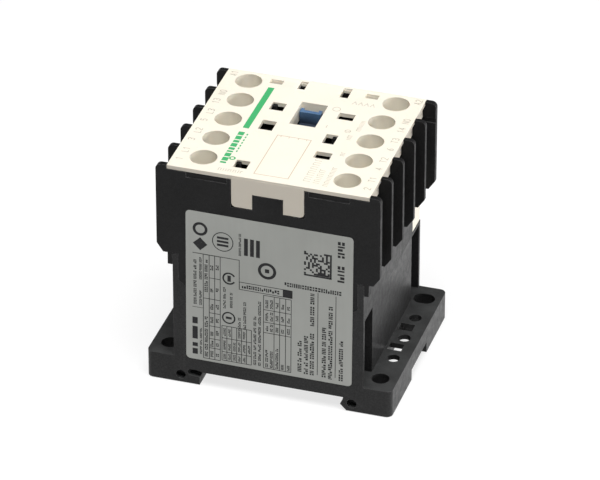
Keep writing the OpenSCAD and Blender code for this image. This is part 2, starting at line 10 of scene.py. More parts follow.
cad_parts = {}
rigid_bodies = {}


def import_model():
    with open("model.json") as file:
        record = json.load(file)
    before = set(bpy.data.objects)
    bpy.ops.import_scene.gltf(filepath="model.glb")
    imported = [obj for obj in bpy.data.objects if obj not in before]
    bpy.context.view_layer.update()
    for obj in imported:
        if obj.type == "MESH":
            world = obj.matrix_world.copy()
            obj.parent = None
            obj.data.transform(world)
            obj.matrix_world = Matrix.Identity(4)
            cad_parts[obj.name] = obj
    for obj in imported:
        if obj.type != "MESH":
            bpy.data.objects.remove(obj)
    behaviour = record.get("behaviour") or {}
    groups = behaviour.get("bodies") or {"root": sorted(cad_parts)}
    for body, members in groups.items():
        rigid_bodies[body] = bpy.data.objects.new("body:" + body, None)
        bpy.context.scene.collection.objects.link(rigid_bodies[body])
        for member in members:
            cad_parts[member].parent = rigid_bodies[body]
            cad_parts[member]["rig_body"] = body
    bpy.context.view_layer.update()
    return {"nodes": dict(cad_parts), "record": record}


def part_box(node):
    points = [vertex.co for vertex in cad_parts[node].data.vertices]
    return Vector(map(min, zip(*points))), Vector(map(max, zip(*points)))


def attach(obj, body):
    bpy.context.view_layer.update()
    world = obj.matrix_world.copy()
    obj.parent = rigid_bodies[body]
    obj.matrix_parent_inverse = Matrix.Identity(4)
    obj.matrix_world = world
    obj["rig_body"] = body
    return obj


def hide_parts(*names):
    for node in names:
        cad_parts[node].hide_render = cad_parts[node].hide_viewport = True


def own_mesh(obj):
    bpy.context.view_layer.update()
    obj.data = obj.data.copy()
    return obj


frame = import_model()

MM = 0.001
scene = bpy.context.scene


# ---------------------------------------------------------------- camera, light, floor

CAMERA_AZIMUTH = 17.45
CAMERA_ELEVATION = 32.01
CAMERA_DISTANCE = 1.1693
CAMERA_LENS = 309.2
CAMERA_TARGET = Vector((0, 0, 0.028))
CAMERA_OFFSET = (0.00048, 0.00038)      # sideways and up, in the view's own plane
SENSOR_WIDTH = 36
CLIP_START = 0.01
ROOM_GREY, WALL_GREY = 0.05, 0.85
WALL_EDGE = (0.06, 0.12)                 # heights on the sky between which the wall fades
# name, azimuth and elevation in degrees, distance and size in metres, power in watts
LIGHTS = (("top", 25, 75, 0.9, 0.6, 11.7),
          ("right", 98, 4, 0.8, 0.5, 7))
FLOOR_HALF = 1.5
FLOOR_DROP = 0.0002                      # keeps the floor clear of the relay's underside
FLOOR_GLOW = 0.76


def view_axes(azimuth, elevation):
    """Right, up and back of a view from that azimuth and elevation."""
    a, e = math.radians(azimuth), math.radians(elevation)
    back = Vector((math.sin(a) * math.cos(e), -math.cos(a) * math.cos(e), math.sin(e)))
    right = Vector((0, 0, 1)).cross(back).normalized()
    return right, back.cross(right), back


def place_view(name, data, place, axes):
    """Puts a camera or a lamp at a place, facing away from the last of the view's axes."""
    obj = bpy.data.objects.new(name, data)
    obj.matrix_world = Matrix.Translation(place) @ Matrix(axes).transposed().to_4x4()
    scene.collection.objects.link(obj)
    return obj


def make_camera():
    right, up, back = view_axes(CAMERA_AZIMUTH, CAMERA_ELEVATION)
    data = bpy.data.cameras.new("camera")
    data.sensor_width = SENSOR_WIDTH
    data.lens = CAMERA_LENS
    data.clip_start = CLIP_START
    aside, above = CAMERA_OFFSET
    place = CAMERA_TARGET + back * CAMERA_DISTANCE + right * aside + up * above
    scene.camera = place_view("camera", data, place, (right, up, back))


def area_light(name, azimuth, elevation, distance, size, power):
    """A square lamp that shines at the middle of the relay."""
    right, up, back = view_axes(azimuth, elevation)
    data = bpy.data.lights.new(name, "AREA")
    data.shape = "SQUARE"
    data.size = size
    data.energy = power
    place_view(name, data, CAMERA_TARGET + back * distance, (right, up, back))


def make_world(room, wall):
    """A dim even room, with a pale low wall all round that stands behind level views."""
    world = bpy.data.worlds.new("studio")
    world.use_nodes = True
    nodes, links = world.node_tree.nodes, world.node_tree.links
    axes = nodes.new("ShaderNodeSeparateXYZ")
    links.new(nodes.new("ShaderNodeTexCoord").outputs["Generated"], axes.inputs[0])
    height = nodes.new("ShaderNodeValToRGB")
    for element, position, grey in zip(height.color_ramp.elements, WALL_EDGE, (wall, room)):
        element.position = position
        element.color = (grey, grey, grey, 1)
    links.new(axes.outputs["Z"], height.inputs["Fac"])
    links.new(height.outputs["Color"], nodes["Background"].inputs["Color"])
    scene.world = world


def make_floor():
    """A large lit sheet just under the relay."""
    bm = bmesh.new()
    bmesh.ops.create_grid(bm, x_segments=8, y_segments=8, size=FLOOR_HALF)
    mesh = bpy.data.meshes.new("floor")
    bm.to_mesh(mesh)
    bm.free()
    floor_object = bpy.data.objects.new("floor", mesh)
    mesh.materials.append(light_table("light_table", FLOOR_GLOW))
    scene.collection.objects.link(floor_object)
    floor_object.location.z = -FLOOR_DROP


# ---------------------------------------------------------------- materials

class Shader:
    """A principled material under construction."""

    def __init__(self, name, roughness=0.5, metallic=0.0, specular=0.5):
        self.material = bpy.data.materials.new(name)
        self.material.use_nodes = True
        self.nodes = self.material.node_tree.nodes
        self.links = self.material.node_tree.links
        self.surface = self.nodes["Principled BSDF"]
        self.surface.inputs["Roughness"].default_value = roughness
        self.surface.inputs["Metallic"].default_value = metallic
        self.surface.inputs["Specular IOR Level"].default_value = specular
        self.place = self.nodes.new("ShaderNodeTexCoord").outputs["Object"]

    def add(self, kind, **values):
        node = self.nodes.new(kind)
        for key, value in values.items():
            if key in node.inputs:
                node.inputs[key].default_value = value
            else:
                setattr(node, key, value)
        return node

    def link(self, source, target):
        self.links.new(source, target)

    def stretched(self, scale):
        """The object's own coordinates, scaled differently along X, Y and Z."""
        mapping = self.add("ShaderNodeMapping")
        mapping.inputs["Scale"].default_value = scale
        self.link(self.place, mapping.inputs["Vector"])
        return mapping.outputs["Vector"]

    def noise(self, scale, detail=3, roughness=0.55, vector=None):
        node = self.add("ShaderNodeTexNoise")
        node.inputs["Scale"].default_value = scale
        node.inputs["Detail"].default_value = detail
        node.inputs["Roughness"].default_value = roughness
        self.link(vector or self.place, node.inputs["Vector"])
        return node.outputs["Fac"]

    def ramp(self, factor, stops):
        """A colour ramp; stops are (position, colour or grey)."""
        node = self.add("ShaderNodeValToRGB")
        elements = node.color_ramp.elements
        while len(elements) < len(stops):
            elements.new(0.5)
        for element, (position, colour) in zip(elements, stops):
            element.position = position
            if not hasattr(colour, "__len__"):
                colour = (colour, colour, colour)
            element.color = (*colour, 1)
        self.link(factor, node.inputs["Fac"])
        return node.outputs["Color"]

    def mix(self, factor, a, b):
        node = self.add("ShaderNodeMix", data_type="RGBA")
        sockets = [s for s in node.inputs if s.type == "RGBA"]
        for source, socket in ((a, sockets[0]), (b, sockets[1])):
            if hasattr(source, "links"):
                self.link(source, socket)
            else:
                socket.default_value = (*source, 1)
        if hasattr(factor, "links"):
            self.link(factor, node.inputs["Factor"])
        else:
            node.inputs["Factor"].default_value = factor
        return [s for s in node.outputs if s.type == "RGBA"][0]

    def math(self, operation, a, b):
        node = self.add("ShaderNodeMath", operation=operation)
        for source, socket in ((a, node.inputs[0]), (b, node.inputs[1])):
            if hasattr(source, "links"):
                self.link(source, socket)
            else:
                socket.default_value = source
        return node.outputs["Value"]

    def edges(self, radius):
        """0 on flat stretches, 1 on edges rounder than the radius."""
        bevel = self.add("ShaderNodeBevel", samples=4)
        bevel.inputs["Radius"].default_value = radius
        geometry = self.add("ShaderNodeNewGeometry")
        dot = self.add("ShaderNodeVectorMath", operation="DOT_PRODUCT")
        self.link(bevel.outputs["Normal"], dot.inputs[0])
        self.link(geometry.outputs["Normal"], dot.inputs[1])
        turned = self.math("SUBTRACT", 1.0, dot.outputs["Value"])
        return self.ramp(turned, [(0.02, 0), (0.2, 1)])

    def colour(self, source):
        self.link(source, self.surface.inputs["Base Color"])

    def roughness(self, source):
        self.link(source, self.surface.inputs["Roughness"])

    def axis(self, vector, letter):
        """One coordinate of a vector."""
        node = self.add("ShaderNodeSeparateXYZ")
        self.link(vector, node.inputs[0])
        return node.outputs[letter]

    def rise(self):
        """1 on faces that look up, 0 on upright ones, -1 on those that look down."""
        return self.axis(self.add("ShaderNodeNewGeometry").outputs["Normal"], "Z")

    def depth(self, top, span):
        """How far a point lies below the height top: 0 there, 1 a span further down."""
        below = self.math("SUBTRACT", top, self.axis(self.place, "Z"))
        return self.math("MULTIPLY", below, 1 / span)

    def bump(self, height, strength, distance):
        node = self.add("ShaderNodeBump", Strength=strength, Distance=distance)
        self.link(height, node.inputs["Height"])
        self.link(node.outputs["Normal"], self.surface.inputs["Normal"])


def moulded_plastic(name, dark, light, wear_and_glint, roughness, grain, specular=0.4, foot_shade=None,
                    patchy_tone=None):
    """Thermoset or nylon moulding: fine grain, faint mottling, paler edges of wear and painted
    highlight.

    foot_shade is the colour of painted shade on the indicator below its head, down in the cover's
    window, and patchy_tone the paler colour laid in patches on upward faces.
    """
    s = Shader(name, specular=specular)
    fine = s.noise(3200, detail=2, roughness=0.7)
    broad = s.noise(90, detail=4)
    speckle = s.ramp(fine, [(0.35, dark), (0.7, light)])
    mottled = s.mix(0.35, speckle, s.ramp(broad, [(0.3, dark), (0.75, light)]))
    # paler edges, partly rubbed wear and partly a painted highlight along them
    edge = s.edges(0.18 * MM)
    worn_and_glinting = s.math("MULTIPLY", edge, s.ramp(s.noise(420), [(0.35, 0.15), (0.65, 0.8)]))
    colour = s.mix(worn_and_glinting, mottled, wear_and_glint)
    # painted shade: the indicator darkens below its head, down in the cover's window
    if foot_shade:
        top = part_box("indicator_flag")[1].z
        depth = s.depth(top, 5 * MM)
        colour = s.mix(s.ramp(depth, [(0.08, 0), (0.55, 1)]), colour, foot_shade)
    # upward faces are made paler in patches
    if patchy_tone:
        upward = s.ramp(s.rise(), [(0.6, 0), (0.95, 1)])
        patches = s.ramp(s.noise(260, detail=5), [(0.3, 0.4), (0.7, 1)])
        upward_patches = s.math("MULTIPLY", upward, patches)
        colour = s.mix(upward_patches, colour, patchy_tone)
    s.colour(colour)
    s.roughness(s.ramp(s.noise(700, detail=4),
                       [(0.3, roughness - 0.08), (0.7, roughness + 0.08)]))
    s.bump(fine, grain, 0.06 * MM)
    return s.material


def cream_plastic(name, tone, shade, pocket_shade=None, bore_light=None, skirt_shade=None):
    """Pale smooth moulding with the faintest mottling and a hint of grain.

    On the cover, pocket_shade is the colour of painted shade on ledges and pocket floors below its
    top, bore_light the colour of painted light on the walls inside its holes, and skirt_shade the
    colour of painted shade on its outer sides.
    """
    s = Shader(name, specular=0.35)
    s.surface.inputs["Subsurface Weight"].default_value = 0.08
    s.surface.inputs["Subsurface Radius"].default_value = (0.0008, 0.0006, 0.0004)
    s.surface.inputs["Subsurface Scale"].default_value = 1.0
    cloud = s.ramp(s.noise(60, detail=5), [(0.3, shade), (0.65, tone)])
    patchy_tone = s.ramp(s.noise(2400, detail=2), [(0.32, shade), (0.42, tone)])
    colour = s.mix(0.5, cloud, patchy_tone)
    if pocket_shade:
        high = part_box("front_cover")[1]
        rise = s.rise()
        upward = s.ramp(rise, [(0.7, 0), (0.9, 1)])
        upright = s.ramp(s.math("ABSOLUTE", rise, 0), [(0.3, 1), (0.6, 0)])
        depth = s.depth(high.z, 2 * MM)
        below = s.ramp(depth, [(0.12, 0), (0.3, 1)])
        # painted shade on the ledges and pocket floors below the cover's top
        colour = s.mix(s.math("MULTIPLY", upward, below), colour, pocket_shade)
        # painted light on the walls inside the cover's holes
        colour = s.mix(s.math("MULTIPLY", upright, below), colour, bore_light)
        # painted shade on the cover's outer sides, which stand back under the top plate's edge
        beyond = [s.math("SUBTRACT", s.math("ABSOLUTE", s.axis(s.place, letter), 0), reach)
                  for letter, reach in (("X", high.x), ("Y", high.y))]
        near_rim = s.math("ADD", s.math("MAXIMUM", *beyond), 0.8 * MM)
        rim = s.math("MULTIPLY", near_rim, 1 / (0.4 * MM))
        outer = s.math("MULTIPLY", s.ramp(rim, [(0.2, 0), (0.8, 1)]),
                       s.ramp(depth, [(0.02, 0), (0.1, 1)]))
        colour = s.mix(outer, colour, skirt_shade)
    s.colour(colour)
    s.roughness(s.ramp(s.noise(500, detail=3), [(0.3, 0.36), (0.7, 0.5)]))
    s.bump(s.noise(1800, detail=3), 0.12, 0.04 * MM)
    return s.material


def label_film(name):
    """Silver-grey polyester film: soft tonal drift, faint brushing."""
    s = Shader(name, metallic=0.25, specular=0.4)
    drift = s.ramp(s.noise(38, detail=3),
                   [(0.3, (0.27, 0.277, 0.258)), (0.7, (0.325, 0.332, 0.311))])
    brushed = s.noise(900, detail=2, vector=s.stretched((1, 1, 0.04)))
    s.colour(s.mix(0.06, drift, s.ramp(brushed, [(0.3, 0.24), (0.7, 0.4)])))
    s.roughness(s.ramp(s.noise(160, detail=3), [(0.3, 0.38), (0.7, 0.52)]))
    s.bump(brushed, 0.015, 0.02 * MM)
    return s.material


def print_and_relief_shade(name, colour, weak):
    """Thermal print, also the painted shade of moulded figures and grooves: near-solid colour with
    small pale gaps.
    """
    s = Shader(name, roughness=0.6, specular=0.3)
    s.colour(s.ramp(s.noise(2600, detail=2), [(0.24, weak), (0.34, colour)]))
    s.bump(s.noise(4000), 0.05, 0.01 * MM)
    return s.material


def metal(name, dark, light, roughness):
    """Plated or drawn metal: a fine grain in colour and height, broader patches of polish."""
    s = Shader(name, metallic=1.0)
    grain = s.noise(1200, detail=4)
    s.colour(s.ramp(grain, [(0.3, dark), (0.7, light)]))
    s.roughness(s.ramp(s.noise(400, detail=3),
                       [(0.3, roughness - 0.07), (0.7, roughness + 0.1)]))
    s.bump(grain, 0.1, 0.02 * MM)
    return s.material


def laminated_steel(name):
    """Stacked sheets along Y, with faint rust at the seams and in patches."""
    s = Shader(name, metallic=0.85, roughness=0.45)
    sheet = 1 * MM
    wave = s.add("ShaderNodeTexWave", wave_type="BANDS", bands_direction="Y", wave_profile="SIN")
    # the wave runs 20 radians a metre at scale 1
    wave.inputs["Scale"].default_value = 2 * math.pi / (20 * sheet)
    wave.inputs["Distortion"].default_value = 0.15
    s.link(s.place, wave.inputs["Vector"])
    sheets = s.ramp(wave.outputs["Fac"], [(0.05, (0.09, 0.075, 0.06)), (0.3, (0.42, 0.42, 0.43))])
    rust = s.ramp(s.noise(700), [(0.4, (0.2, 0.15, 0.11)), (0.6, (0.5, 0.5, 0.5))])
    s.colour(s.mix(0.25, sheets, rust))
    s.bump(wave.outputs["Fac"], 0.4, 0.06 * MM)
    return s.material


def rubber(name):
    """Matt black rubber with a coarse skin."""
    s = Shader(name, roughness=0.8, specular=0.3)
    s.colour(s.ramp(s.noise(1500, detail=4), [(0.3, 0.015), (0.7, 0.035)]))
    s.bump(s.noise(2500), 0.2, 0.05 * MM)
    return s.material


def light_table(name, glow):
    """White acrylic sheet, lit from below, which is also the backdrop."""
    s = Shader(name, roughness=0.5, specular=0.2)
    s.colour(s.ramp(s.noise(3, detail=4), [(0.3, 0.22), (0.7, 0.26)]))
    lit = s.ramp(s.noise(2, detail=3), [(0.3, 0.97), (0.7, 1.0)])
    s.link(lit, s.surface.inputs["Emission Color"])
    s.surface.inputs["Emission Strength"].default_value = glow
    s.bump(s.noise(400), 0.02, 0.1 * MM)
    return s.material


MATERIALS = {
    "base_plastic": moulded_plastic("base_plastic", (0.011, 0.011, 0.0112), (0.03, 0.03, 0.0302),
                                    (0.13, 0.13, 0.128), 0.36, 0.6, specular=0.14,
                                    patchy_tone=(0.052, 0.053, 0.053)),
    "black_plastic": moulded_plastic("black_plastic", (0.0065, 0.0065, 0.0067),
                                     (0.0145, 0.0145, 0.0148), (0.15, 0.15, 0.15), 0.46, 0.3,
                                     specular=0.12),
    "carrier_plastic": moulded_plastic("carrier_plastic", (0.03, 0.028, 0.026),
                                       (0.055, 0.05, 0.046), (0.1, 0.09, 0.08), 0.5, 0.2),
    "slider_plastic": moulded_plastic("slider_plastic", (0.05, 0.05, 0.052), (0.08, 0.08, 0.084),
                                      (0.15, 0.15, 0.15), 0.45, 0.15),
    "cream_plastic": cream_plastic("cream_plastic", (0.80, 0.75, 0.645), (0.75, 0.695, 0.59),
                                   pocket_shade=(0.34, 0.31, 0.25), bore_light=(0.90, 0.845, 0.72),
                                   skirt_shade=(0.48, 0.44, 0.375)),
    "bobbin_plastic": cream_plastic("bobbin_plastic", (0.74, 0.70, 0.61), (0.68, 0.635, 0.54)),
    "blue_plastic": moulded_plastic("blue_plastic", (0.06, 0.125, 0.235), (0.092, 0.18, 0.335),
                                    (0.26, 0.44, 0.64), 0.38, 0.08, foot_shade=(0.016, 0.026, 0.045)),
    "label_film": label_film("label_film"),
    "label_ink": print_and_relief_shade("label_ink", (0.008, 0.008, 0.009), (0.05, 0.05, 0.05)),
    "green_ink": print_and_relief_shade("green_ink", (0.05, 0.37, 0.135), (0.085, 0.42, 0.18)),
    "field_groove_shade": print_and_relief_shade("field_groove_shade", (0.52, 0.4, 0.29), (0.6, 0.49, 0.37)),
    "mark_relief_shade": print_and_relief_shade("mark_relief_shade", (0.45, 0.41, 0.33), (0.52, 0.48, 0.39)),
    "core_steel": laminated_steel("core_steel"),
    "plated_steel": metal("plated_steel", (0.5, 0.5, 0.48), (0.68, 0.68, 0.65), 0.32),
    "screw_steel": metal("screw_steel", (0.48, 0.47, 0.42), (0.68, 0.66, 0.6), 0.3),
    "rivet_steel": metal("rivet_steel", (0.38, 0.38, 0.38), (0.55, 0.55, 0.55), 0.38),
    "spring_steel": metal("spring_steel", (0.4, 0.4, 0.4), (0.62, 0.62, 0.6), 0.25),
    "copper": metal("copper", (0.55, 0.26, 0.13), (0.75, 0.4, 0.22), 0.34),
    "winding": metal("winding", (0.3, 0.08, 0.025), (0.5, 0.16, 0.05), 0.3),
    "silver": metal("silver", (0.62, 0.61, 0.57), (0.82, 0.81, 0.77), 0.36),
    "pad_rubber": rubber("pad_rubber"),
}


def dress(obj, slot):
    """Gives an object the material of one of the record's slots, and no other."""
    obj.data.materials.clear()
    obj.data.materials.append(MATERIALS[slot])


# ---------------------------------------------------------------- building pieces

NODE_SLOT = {s["node"]: s["material_slot"] for s in frame["record"]["subparts"]}


def mm_box(node):
    """Low and high corners of a CAD node, in millimetres."""
    low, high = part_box(node)
    return low / MM, high / MM


def frame_centre(node):
    low, high = mm_box(node)
    return (low + high) / 2


def finish_piece(name, bm, material, body, smooth=None):
    """Makes an object of a bmesh in millimetres, dresses it and lets it ride on its body."""
    bmesh.ops.recalc_face_normals(bm, faces=bm.faces)
    bmesh.ops.scale(bm, vec=(MM, MM, MM), verts=bm.verts)
    mesh = bpy.data.meshes.new(name)
    bm.to_mesh(mesh)
    bm.free()
    obj = bpy.data.objects.new(name, mesh)
    scene.collection.objects.link(obj)
    mesh.materials.append(MATERIALS[material])
    if smooth is not None:
        mesh.shade_smooth()
        mesh.set_sharp_from_angle(angle=math.radians(smooth))
    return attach(obj, body)


def rounded_copy(node, width):
    """A piece with the CAD node's shape and softly rounded edges, which stands for the node."""
    source = frame["nodes"][node]
    bm = bmesh.new()
    bm.from_mesh(source.data)
    bmesh.ops.remove_doubles(bm, verts=bm.verts, dist=1e-7)
    bmesh.ops.dissolve_limit(bm, angle_limit=math.radians(0.4), verts=bm.verts, edges=bm.edges)
    mesh = bpy.data.meshes.new(node + "_shell")
    bm.to_mesh(mesh)
    bm.free()
    obj = bpy.data.objects.new(node + "_shell", mesh)
    scene.collection.objects.link(obj)
    bevel = obj.modifiers.new("edges", "BEVEL")
    bevel.width = width * MM
    bevel.segments = 2
    bevel.limit_method = "ANGLE"
    bevel.angle_limit = math.radians(28)
    bevel.harden_normals = True
    mesh.shade_smooth()
    mesh.set_sharp_from_angle(angle=math.radians(40))
    apply_modifiers(obj)
    slot = NODE_SLOT[node]
    dress(obj, slot)
    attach(obj, source["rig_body"])
    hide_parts(node)


def apply_modifiers(obj):
    """Turns what the modifiers show into the object's own mesh."""
    bpy.context.view_layer.update()
    evaluated = obj.evaluated_get(bpy.context.evaluated_depsgraph_get())
    shaped = bpy.data.meshes.new_from_object(evaluated)
    obj.modifiers.clear()
    obj.data = shaped


# ---------------------------------------------------------------- label artwork

# stroke figures on a grid 2 wide and 4 tall
GLYPHS = {
    "1": [[(0.4, 3.2), (1.1, 4), (1.1, 0)]],
    "2": [[(0, 3.3), (0.5, 4), (1.5, 4), (2, 3.3), (2, 2.6), (0, 0), (2, 0)]],
    "3": [[(0, 3.6), (0.6, 4), (1.5, 4), (2, 3.3), (1.5, 2.2), (0.8, 2.1)],
          [(1.5, 2.2), (2, 1.3), (1.6, 0.2), (0.6, 0), (0, 0.5)]],
    "4": [[(1.5, 0), (1.5, 4), (0, 1.3), (2.1, 1.3)]],
    "5": [[(1.9, 4), (0.3, 4), (0.1, 2.2), (1.3, 2.5), (2, 1.6), (1.7, 0.3), (0.8, 0), (0, 0.4)]],
    "6": [[(1.7, 4), (0.4, 2.8), (0, 1.3), (0.5, 0.1), (1.4, 0.1), (2, 1.1), (1.5, 2.2), (0.3, 2)]],
    "A": [[(0, 0), (1, 4), (2, 0)], [(0.4, 1.3), (1.6, 1.3)]],
    "L": [[(0.1, 4), (0.1, 0), (1.8, 0)]],
    "T": [[(0, 4), (2, 4)], [(1, 4), (1, 0)]],
    "N": [[(0, 0), (0, 4), (2, 0), (2, 4)]],
    "O": [[(0.6, 0), (0, 1), (0, 3), (0.6, 4), (1.4, 4), (2, 3), (2, 1), (1.4, 0), (0.6, 0)]],
}
COVER_TOP = mm_box("front_cover")[1].z
LABEL_LOW, LABEL_HIGH = mm_box("rating_label")
LABEL_SIZE = (39.1, 39.35)
LABEL_TURN = math.radians(0.4)           # the sticker sits slightly off square
# thickness in millimetres of printed inks and of the painted shade that draws the cover's relief;
# each on the cover has its own
LABEL_INK, STRIPE_INK, FIELD_SHADE, MARKS_SHADE = 0.01, 0.008, 0.007, 0.006
HOOK_LINE = 0.13                         # stroke width of the painted shade that draws the cover's moulded figures
# kinds of print sign: how far up the draw of 0 to 1 it is taken, factor on its width, and
# the spans of its height that are inked
SIGNS = ((0.4, 1, ((0, 1),)),
         (0.75, 1.7, ((0, 0.4), (0.6, 1))),
         (0.9, 1.6, ((0, 0.6),)),
         (1, 1.5, ((0.3, 1),)))
SIGN_GAP = 0.17                          # between signs, as a share of their height


def on_label(u, v, proud):
    """u runs to the right and v up from the label's lower left corner."""
    middle = (LABEL_LOW + LABEL_HIGH) / 2
    along = Vector((math.cos(LABEL_TURN), 0, -math.sin(LABEL_TURN)))
    up = Vector((math.sin(LABEL_TURN), 0, math.cos(LABEL_TURN)))
    point = middle + along * (u - LABEL_SIZE[0] / 2) + up * (v - LABEL_SIZE[1] / 2)
    point.y = LABEL_LOW.y - proud
    return point


def on_cover(u, v, proud):
    """u runs along +X and v along +Y on top of the front cover."""
    return Vector((u, v, COVER_TOP + proud))


class Artwork:
    """Flat printed shapes, and flat shapes of painted relief shade, on a surface; place(u, v,
    proud) gives their points.
    """

    def __init__(self, place, film_depth):
        self.bm = bmesh.new()
        self.place = place
        self.film_depth = film_depth

    def polygon(self, points):
        back = [self.bm.verts.new(self.place(u, v, 0)) for u, v in points]
        front = [self.bm.verts.new(self.place(u, v, self.film_depth)) for u, v in points]
        self.bm.faces.new(front)
        self.bm.faces.new(back[::-1])
        for i in range(len(points)):
            j = (i + 1) % len(points)
            self.bm.faces.new((back[i], back[j], front[j], front[i]))

    def bar(self, u0, v0, u1, v1):
        self.polygon([(u0, v0), (u1, v0), (u1, v1), (u0, v1)])

    def ring(self, u, v, outer, inner, turn=360, start=0, steps=28):
        """A ring, or an arc of one, as a row of short four-sided strips."""
        n = max(4, int(steps * turn / 360))
        for k in range(n):
            a, b = (math.radians(start + turn * (k + s) / n) for s in (0, 1))
            self.polygon([(u + outer * math.cos(a), v + outer * math.sin(a)),
                          (u + outer * math.cos(b), v + outer * math.sin(b)),
                          (u + inner * math.cos(b), v + inner * math.sin(b)),
                          (u + inner * math.cos(a), v + inner * math.sin(a))])

    def sign(self, rng, height, corner):
        """One sign of unreadable print, as plain bars, where corner(a, b) places its corners.

        Returns the sign's width.
        """
        kind = rng.random()
        wide = rng.uniform(0.22, 0.32) * height
        factor, spans = next((factor, spans) for limit, factor, spans in SIGNS if kind < limit)
        wide *= factor
        for low, high in spans:
            self.bar(*corner(0, low * height), *corner(wide, high * height))
        return wide

    def upright_words(self, u, v0, v1, height, rng):
        """Greeked text that reads upwards: words of plain bars, with no letters."""
        v = v0
        while v < v1 - 0.5:
            end = v + min(rng.uniform(1.0, 2.6), v1 - v)
            while v < end - 0.15:
                v += self.sign(rng, height, lambda a, b: (u - b, v + a)) + SIGN_GAP * height
            v = end + 0.4 * height

    def level_words(self, v, u0, u1, height, rng):
        """Greeked text that reads along X, in plain bars too."""
        u = u0
        while u < u1 - 0.3:
            u += self.sign(rng, height, lambda a, b: (u + a, v + b)) + SIGN_GAP * height

    def stroke(self, points, width):
        """A line of constant width through some points."""
        for (u0, v0), (u1, v1) in zip(points, points[1:]):
            long = math.hypot(u1 - u0, v1 - v0)
            along = ((u1 - u0) / long, (v1 - v0) / long)
            e = width / 2
            cap = e * 0.8
            u0, v0 = u0 - along[0] * cap, v0 - along[1] * cap
            u1, v1 = u1 + along[0] * cap, v1 + along[1] * cap
            side = (-along[1] * e, along[0] * e)
            self.polygon([(u0 + side[0], v0 + side[1]), (u0 - side[0], v0 - side[1]),
                          (u1 - side[0], v1 - side[1]), (u1 + side[0], v1 + side[1])])

    def terminal_number(self, text, u, v, height, width):
        """Generic terminal numbers that read along +V, centred on u and v."""
        step = height * 0.78
        start = v - step * (len(text) - 1) / 2 - height * 0.27
        for k, sign in enumerate(text):
            for line in GLYPHS[sign]:
                self.stroke([(u + height * (0.5 - y / 4), start + step * k + height * x / 4)
                             for x, y in line], width)

    def grid(self, us, vs, line):
        """Ruled lines at every u and v of a table."""
        for u in us:
            self.bar(u - line / 2, vs[0], u + line / 2, vs[-1])
        for v in vs:
            self.bar(us[0], v - line / 2, us[-1], v + line / 2)


